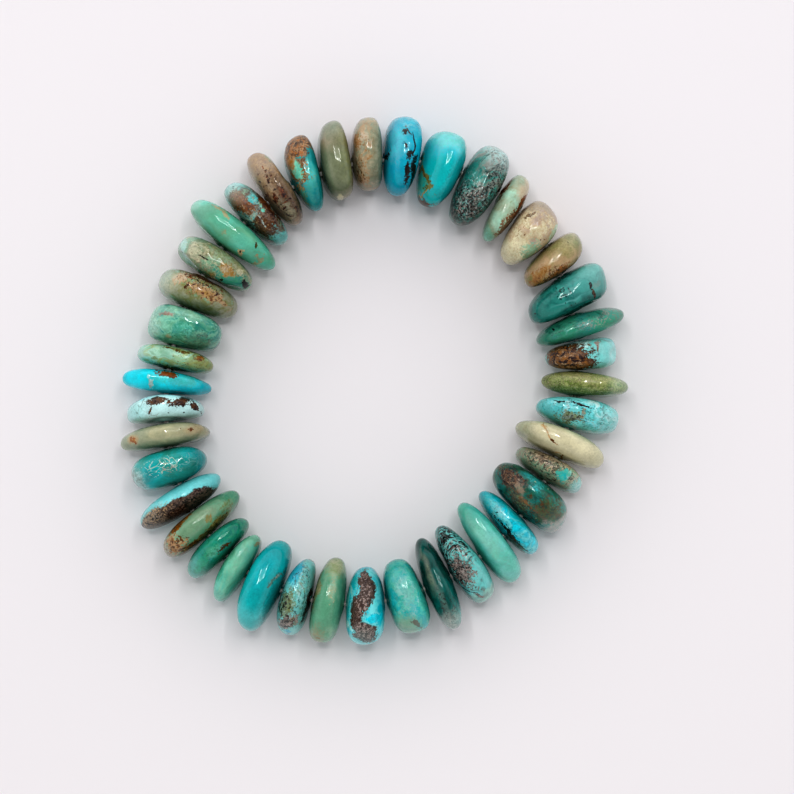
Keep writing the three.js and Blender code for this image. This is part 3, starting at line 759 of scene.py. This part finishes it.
LOOKS[33] = (
    body("frost frost ice", 4, low=0.4, high=0.9, haze=0.1),
    # Painted shade: a deeper aqua along the anticlockwise edge, where it falls away over the hollow.
    wash("aqua", (0.0, 0.9, 0.9, 0.3), 0.3),
    patch("umber brown", (-0.82, 0.12, 0.06, 0.36), turn=16, matte=0.3),
    patch("umber brown", (-0.5, -0.38, 0.24, 0.32), turn=-14, matte=0.3, ragged=1.0),
    patch("umber taupe brown", (0.06, -0.55, 0.26, 0.18), matte=0.3),
    patch("umber taupe brown", (0.33, -0.02, 0.05, 0.26), turn=-14),
    patch("umber brown", (-0.25, -0.4, 0.05, 0.14), ragged=1.0),
    specks("charcoal", 1.7, 0.14, 0.5),
    web("pebble", 2.2, 0.03, (0.5, 0.0, 0.4, 0.8), 0.7, ragged=0.5),
    wash("aqua", (0.85, 0.1, 0.4, 0.9), 0.35),
)
LOOKS[34] = (
    body("turquoise bright_cyan cyan bright_cyan", 5, low=0.3, high=0.8, haze=0.0),
    wash("bright_cyan", (0.7, 0.1, 0.42, 1.2), 0.85, soft=0.4),
    wash("seafoam pale_turquoise", (-0.3, -0.25, 0.55, 0.5), 0.6),
    wash("deep_turquoise", (-0.2, 0.9, 0.7, 0.3)),
    patch("brown rust", (0.02, -0.7, 0.18, 0.28), ragged=0.8),
    patch("ice greige", (0.27, 0.3, 0.05, 0.4), 0.85, ragged=1.1),
    patch("ice", (0.3, -0.25, 0.04, 0.2), 0.6, ragged=1.0),
)
LOOKS[35] = (
    body("celadon pale_mint light_moss mint", 3, stretch=(0.7, 1.2, 1)),
    wash("light_moss olive", (-0.8, 0.1, 0.35, 0.8), 0.75, ragged=0.6),
    wash("pale_mint mint", (0.0, -0.1, 0.4, 0.4)),
    patch("dark_olive brown", (0.1, 0.9, 0.6, 0.2)),
    patch("olive", (0.5, 0.35, 0.09, 0.2), 0.8, ragged=1.0),
    patch("brown gold", (-0.68, -0.45, 0.14, 0.2), ragged=1.1),
    patch("brown olive", (-0.2, -0.75, 0.4, 0.12), ragged=1.1),
    grains("brown", 0.45, 0.2, (-0.5, 0.0, 0.5, 0.7), 0.7, ragged=0.5),
    wash("ice pale_mint", (0.92, 0.1, 0.2, 0.7), 0.6, soft=0.4),
)
LOOKS[36] = (
    body("leaf mint sea mint", 2.8, rich=0.95),
    wash("dark_sage leaf", (-0.5, 0.45, 0.5, 0.4), 0.65, ragged=0.6, soft=0.4),
    wash("jade seafoam", (-0.02, 0.12, 0.32, 0.36), 0.75, ragged=0.8, soft=0.35),
    wash("jade teal", (-0.45, -0.35, 0.35, 0.3), 0.6, ragged=0.8, soft=0.4),
    wash("celadon pale_mint", (0.1, -0.7, 0.6, 0.3), 0.6, soft=0.4),
    wash("celadon pale_mint", (0.82, -0.1, 0.22, 0.9), 0.85, soft=0.3),
    wash("apricot celadon", (0.38, 0.45, 0.1, 0.16), 0.7, ragged=0.9, soft=0.3),
    patch("rose_grey rust", (0.52, -0.5, 0.12, 0.1), 0.9, ragged=1.2),
    grains("sea", 1.0, 0.35, strength=0.3),
    grains("umber", 0.5, 0.2, (-0.3, 0.3, 0.5, 0.5), 0.4, ragged=0.5),
)
LOOKS[37] = (
    body("olive sage olive celadon", 3.2, haze=0.4, rich=0.9),
    wash("dark_sage dark_olive", (-0.2, 0.8, 0.9, 0.35), 0.6, soft=0.4),
    wash("sage cream", (0.78, 0.2, 0.3, 0.7), 0.7, soft=0.4),
    patch("apricot sand", (0.48, -0.5, 0.2, 0.42), 0.85, soft=0.2),
    patch("tan apricot ochre", (-0.22, -0.18, 0.55, 0.3), 0.8, turn=-20, ragged=1.2),
    grains("brown", 0.5, 0.35, (-0.2, -0.2, 0.6, 0.35), 0.8, turn=-20),
    patch("rust umber", (0.0, -0.82, 0.6, 0.16), ragged=1.1),
    patch("brown umber", (0.2, -0.05, 0.07, 0.15), ragged=1.2),
    specks("umber rust", 0.8, 0.38, 0.65, (-0.3, -0.15, 0.55, 0.28), turn=-18, matte=0.6, ragged=0.5),
    grains("umber", 0.4, 0.28, (0.05, -0.55, 0.5, 0.25)),
)
LOOKS[38] = (
    body("sage celadon sage ivory", 3.2, light=0.96),
    patch("sea jade", (-0.52, 0.42, 0.48, 0.6), 0.9, ragged=0.8, soft=0.2),
    patch("olive ochre", (-0.02, 0.8, 0.14, 0.25), 0.8, ragged=1.0),
    patch("jade", (0.1, 0.85, 0.2, 0.2), 0.7, ragged=1.0),
    patch("ochre sand", (-0.3, -0.05, 0.17, 0.38), 0.9, ragged=1.0, soft=0.2),
    wash("olive sage", (-0.1, -0.6, 0.6, 0.3), 0.6, ragged=0.9, soft=0.3),
    patch("pale_mint ice", (0.88, 0.0, 0.12, 0.9), 0.85, turn=10, ragged=0.6),
    patch("pale_mint aqua", (0.55, 0.7, 0.3, 0.1), 0.7, turn=-28, ragged=0.8),
    patch("soot", (-0.82, 0.12, 0.06, 0.15), matte=0.4),
    patch("charcoal", (-0.3, 0.62, 0.03, 0.09), ragged=1.0),
    patch("charcoal", (0.3, 0.0, 0.08, 0.05), turn=30, ragged=1.2),
    grains("taupe", 0.4, 0.22, (0.2, -0.1, 0.7, 0.8), 0.5, ragged=0.5),
    grains("ivory", 0.6, 0.25, (0.4, 0.0, 0.5, 0.7), 0.6, ragged=0.5),
)
LOOKS[39] = (
    body("jade leaf seafoam leaf", 6, stretch=(0.7, 1.2, 1), low=0.2, high=0.85),
    wash("mint", (0.0, 0.0, 0.6, 0.4), 0.4, soft=0.6),
    patch("tan leaf", (-0.68, 0.4, 0.05, 0.5), 0.8, ragged=1.1),
    patch("cream tan", (-0.32, 0.48, 0.06, 0.18), ragged=1.0),
    patch("umber", (-0.31, 0.48, 0.02, 0.07), ragged=0.5),
    patch("dark_olive umber", (-0.47, -0.42, 0.045, 0.2), turn=18, ragged=0.8),
    patch("tan leaf", (0.22, 0.08, 0.07, 0.2), 0.6, ragged=1.2),
    patch("tan apricot", (0.46, -0.72, 0.14, 0.12), 0.7, ragged=1.2),
    wash("pale_mint", (0.97, 0.0, 0.12, 0.8), soft=0.4),
)
LOOKS[40] = (
    body("celadon taupe aqua celadon", 3, haze=0.4),
    wash("pale_turquoise aqua", (-0.97, 0.1, 0.14, 0.8), 0.8, soft=0.3),
    patch("aqua ice", (0.9, 0.0, 0.22, 1.0), 0.85, ragged=0.5, soft=0.2),
    patch("brown taupe", (-0.33, 0.05, 0.38, 1.0), matte=0.4, ragged=0.5, soft=0.1),
    patch("taupe rust brown taupe", (0.42, 0.25, 0.34, 0.8), matte=0.4, ragged=0.5, soft=0.1),
    patch("umber brown", (-0.05, -0.78, 0.5, 0.26), matte=0.4),
    grains("umber", 0.45, 0.3, (0.0, 0.1, 0.8, 0.9), 0.65, matte=0.5, ragged=0.6),
    patch("turquoise aqua", (0.34, -0.45, 0.11, 0.22), ragged=1.0),
    patch("seafoam", (-0.05, -0.35, 0.06, 0.12), ragged=1.0),
    patch("ice pebble", (-0.12, 0.12, 0.26, 0.07), 0.85, ragged=1.2),
    patch("sand aqua", (0.05, 0.4, 0.08, 0.35), 0.75, ragged=1.2),
    grains("tan", 0.5, 0.2, (0.05, 0.0, 0.6, 0.7), 0.7, ragged=0.5),
    wash("rose_grey tan", (0.6, 0.1, 0.25, 0.6), 0.35),
)
LOOKS[41] = (
    body("greige tan greige taupe", 4, low=0.25, high=0.9, haze=0.0, light=0.93, rich=0.92),
    wash("taupe umber", (-0.5, -0.4, 0.85, 0.8), 0.75, soft=0.6),
    wash("sage cream", (-0.6, 0.2, 0.3, 0.3), 0.6, ragged=1.0, soft=0.3),
    wash("rose_grey sand", (0.7, 0.0, 0.4, 0.7), 0.35),
    grains("brown", 0.5, 0.3, (-0.35, 0.1, 0.7, 0.8), 0.4, ragged=0.6),
    specks("umber umber rust", 0.7, 0.44, 0.8, (-0.5, -0.1, 0.55, 0.6), matte=0.8, ragged=0.6),
    specks("umber rust", 0.9, 0.36, 0.5, (-0.1, 0.35, 0.7, 0.6), matte=0.7),
    patch("umber rust", (-0.14, -0.15, 0.12, 0.14), turn=-20, matte=0.8, ragged=1.1),
    patch("umber rust", (-0.2, 0.35, 0.1, 0.1), turn=-10, matte=0.8, ragged=1.2),
    patch("rust", (0.55, -0.08, 0.06, 0.07), 0.7, ragged=1.1),
    wash("celadon", (0.75, -0.75, 0.25, 0.2), 0.7, soft=0.4),
)

# Flats and hollows that a stone has besides its own uneven roundness: where its middle is on the stone
# and how far it spreads, in stone units, and how deep it goes, in millimetres.
HOLLOWS = {
    5: [((0.75, -0.85, 0.4), 0.35, 0.35)],
    10: [((0.05, -1.0, 0.35), 0.55, 1.1)],
    12: [((1.0, -0.2, 0.3), 0.55, 0.5), ((0.9, 0.9, 0.3), 0.4, 0.3)],
    20: [((0.85, -0.4, 0.7), 0.35, 0.5), ((-0.9, 0.2, 0.6), 0.35, 0.3)],
    23: [((-0.4, -0.1, 1.0), 0.35, 0.25), ((0.6, 0.1, 0.9), 0.3, 0.2)],
    33: [((0.0, 1.0, 0.3), 0.7, 0.5)],
    34: [((-0.15, 1.0, 0.3), 0.55, 0.3)],
    38: [((0.75, 0.85, 0.3), 0.6, 0.7), ((-0.8, 0.75, 0.3), 0.5, 0.4)],
    41: [((0.15, -1.0, 0.3), 0.6, 0.5)],
}


# ---------------- making the stones
MERGE = 0.001 * MM
CORD_ROOM = 0.4 * MM  # between the cord and the wall of a bore
BORE_REACH = 1.0 * MM  # a stone's corners this near the cord belong to its bore
MOUTH_CREASE = 0.85
MOUTH_FADE = 1.6 * MM  # tumbling leaves a bore alone, and wears a stone fully this far from it
FIT_ROUNDS = 4
SKIN_LEVELS = 3
FLATS = 5
FLAT_DEPTH = 0.14 * MM
FLAT_SHARE = (0.3, 1.0)  # how much of that depth a flat has
FLAT_EDGE = 0.6  # the cosine of the turn from a flat's middle to its edge
LUMP = 0.1 * MM
LUMP_SIZE = 3.5 * MM
LUMP_STEP = (7.1, 3.7, 0)  # how far apart two stones are in the lumps' pattern
SLIM = 0.03 * MM  # what is worn off all over

CORD_LEVELS = 2
CORD_TONES = ("CFCDC6", "F1EFEA")
CORD_SPREAD = (0.35, 0.65)  # where those lie on its clouds
CORD_CLOUDS, CORD_STRANDS = 900, 2600  # how many there are to a metre
CORD_SHEEN = (0.25, 0.4)


class Lie:
    """Where a stone lies: its middle, its plan turn with the long axis pointing out from the ring's middle,
    and its half sizes along, across and upright."""

    def __init__(self, points):
        middle = sum(points, Vector()) / len(points)
        spread = [p - middle for p in points]
        along = sum(p.x * p.x for p in spread)
        across = sum(p.y * p.y for p in spread)
        both = sum(p.x * p.y for p in spread)
        self.turn = math.atan2(2 * both, along - across) / 2
        if middle.x * math.cos(self.turn) + middle.y * math.sin(self.turn) < 0:
            self.turn += math.pi
        self.axes = [Vector((math.cos(self.turn), math.sin(self.turn), 0)),
                     Vector((-math.sin(self.turn), math.cos(self.turn), 0)), Vector((0, 0, 1))]
        reaches = [[axis.dot(p) for p in points] for axis in self.axes]
        self.half = Vector([(max(r) - min(r)) / 2 for r in reaches])
        self.centre = sum((axis * (max(r) + min(r)) / 2 for axis, r in zip(self.axes, reaches)), Vector())

    def units(self, point):
        return Vector([axis.dot(point - self.centre) / half for axis, half in zip(self.axes, self.half)])


def merged_copy(node):
    """A copy of a CAD node's mesh with its corners joined and its triangles paired into four-sided faces."""
    cage = bmesh.new()
    cage.from_mesh(node.data)
    bmesh.ops.remove_doubles(cage, verts=cage.verts, dist=MERGE)
    bmesh.ops.join_triangles(cage, faces=cage.faces, angle_face_threshold=math.pi,
                             angle_shape_threshold=math.pi)
    return cage


def smoothstep(value):
    value = min(max(value, 0.0), 1.0)
    return value * value * (3 - 2 * value)


def applied(piece):
    """Puts what a piece's modifiers show in its mesh, and takes them off."""
    shown = piece.evaluated_get(bpy.context.evaluated_depsgraph_get())
    mesh = bpy.data.meshes.new_from_object(shown)
    piece.modifiers.clear()
    piece.data = mesh
    mesh.shade_smooth()
    return mesh


def dressed(mesh, material):
    """Gives a mesh that material alone."""
    mesh.materials.clear()
    mesh.materials.append(material)


def skinned(name, cage, held):
    """A smooth skin over a cage, through the cage's corners except the held ones. The cage is moved out
    until one level of the skin meets where its corners were."""
    piece = as_piece(name, cage)
    mesh = piece.data
    skin = piece.modifiers.new("skin", "SUBSURF")
    corners = [v.co.copy() for v in mesh.vertices]
    skin.levels = skin.render_levels = 1
    for _ in range(FIT_ROUNDS):
        shown = piece.evaluated_get(bpy.context.evaluated_depsgraph_get()).data.vertices
        moves = [corner - shown[i].co for i, corner in enumerate(corners)]
        for i, move in enumerate(moves):
            if i not in held:
                mesh.vertices[i].co += move
        mesh.update()
    skin.levels = skin.render_levels = SKIN_LEVELS
    applied(piece)
    return piece


def tumble(mesh, number, lie, cord_tree):
    """Wears a stone as tumbling does: soft flats, shallow lumps and its own hollows, always inwards."""
    chance = random.Random(number)
    flats = []
    for _ in range(FLATS):
        way = Vector([chance.uniform(-1, 1) for _ in range(3)]).normalized()
        flats.append((way, chance.uniform(*FLAT_SHARE) * FLAT_DEPTH))
    start = Vector([number * step for step in LUMP_STEP])
    moves = []
    for v in mesh.vertices:
        spot = lie.units(v.co)
        way = spot.normalized()
        push = SLIM + LUMP * (0.5 + 0.5 * noise.noise(v.co / LUMP_SIZE + start))
        for flat, depth in flats:
            push += depth * smoothstep((way.dot(flat) - FLAT_EDGE) / (1 - FLAT_EDGE))
        for middle, spread, depth in HOLLOWS.get(number, []):
            push += depth * MM * smoothstep(1 - (spot - Vector(middle)).length / spread)
        push *= smoothstep((cord_tree.find_nearest(v.co)[3] - CORD_ROOM) / MOUTH_FADE)
        moves.append(v.normal * -push)
    for v, move in zip(mesh.vertices, moves):
        v.co += move
        v.co = [min(max(place, low), high) for place, low, high in zip(v.co, *cad_box)]
    mesh.update()


def add_stone(number, cord_tree):
    name = f"stone_{number:02d}"
    cage = merged_copy(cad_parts[name])
    lie = Lie([v.co for v in cage.verts])
    in_bore = {v for v in cage.verts if cord_tree.find_nearest(v.co)[3] < BORE_REACH}
    crease = cage.edges.layers.float.new("crease_edge")
    for edge in cage.edges:
        walls = [all(v in in_bore for v in face.verts) for face in edge.link_faces]
        if any(walls) and not all(walls):
            edge[crease] = MOUTH_CREASE
    cage.verts.index_update()
    held = {v.index for v in in_bore}
    stone = skinned(f"{name}_polished", cage, held)
    tumble(stone.data, number, lie, cord_tree)

    finish = StoneFinish(number, lie)
    for kind, colours, values, how in LOOKS[number]:
        getattr(finish, kind)(colours, *values, **how)
    dressed(stone.data, finish.polish())
    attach(stone, "root")
    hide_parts(name)
    return stone


def add_elastic():
    """The stretch cord that the stones are threaded on: a smooth copy of the CAD loop."""
    cord = as_piece("stretch_cord", merged_copy(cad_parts["elastic_cord"]))
    skin = cord.modifiers.new("skin", "SUBSURF")
    skin.levels = skin.render_levels = CORD_LEVELS
    mesh = applied(cord)
    finish = Finish("clear_stretch_cord")
    place = finish.add("TexCoord").outputs["Object"]
    cloudy = finish.noise(place, CORD_CLOUDS, detail=3.0).outputs[0]
    colour = finish.ramp(cloudy, [linear(tone) for tone in CORD_TONES], *CORD_SPREAD)
    strands = finish.noise(place, CORD_STRANDS).outputs[0]
    bump = finish.add("Bump", {"Strength": 0.3, "Distance": 0.05 * MM, "Height": strands}).outputs[0]
    sheen = finish.span(cloudy, *NOISE_RANGE, *CORD_SHEEN)
    dressed(mesh, finish.close(Base_Color=colour, Roughness=sheen, Normal=bump, IOR=1.45,
                               Transmission_Weight=0.4))
    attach(cord, "root")
    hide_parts("elastic_cord")


def add_floor():
    ground = bmesh.new()
    bmesh.ops.create_grid(ground, x_segments=8, y_segments=8, size=FLOOR_SIDE / 2)
    floor = as_piece("pale_table", ground)
    finish = Finish("pale_table_top")
    cloudy = finish.noise(finish.add("TexCoord").outputs["Object"], FLOOR_CLOUDS).outputs[0]
    colour = finish.ramp(cloudy, [linear(tone) for tone in FLOOR_TONES], *NOISE_RANGE)
    dressed(floor.data, finish.close(Base_Color=colour, Roughness=0.7))


add_camera()
add_daylight()
add_window()
add_floor()

cord_shape = merged_copy(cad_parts["elastic_cord"])
cord_tree = BVHTree.FromBMesh(cord_shape)
cord_shape.free()
for number in sorted(LOOKS):
    add_stone(number, cord_tree)
add_elastic()

scene.view_settings.view_transform = "Standard"
scene.view_settings.look = "High Contrast"
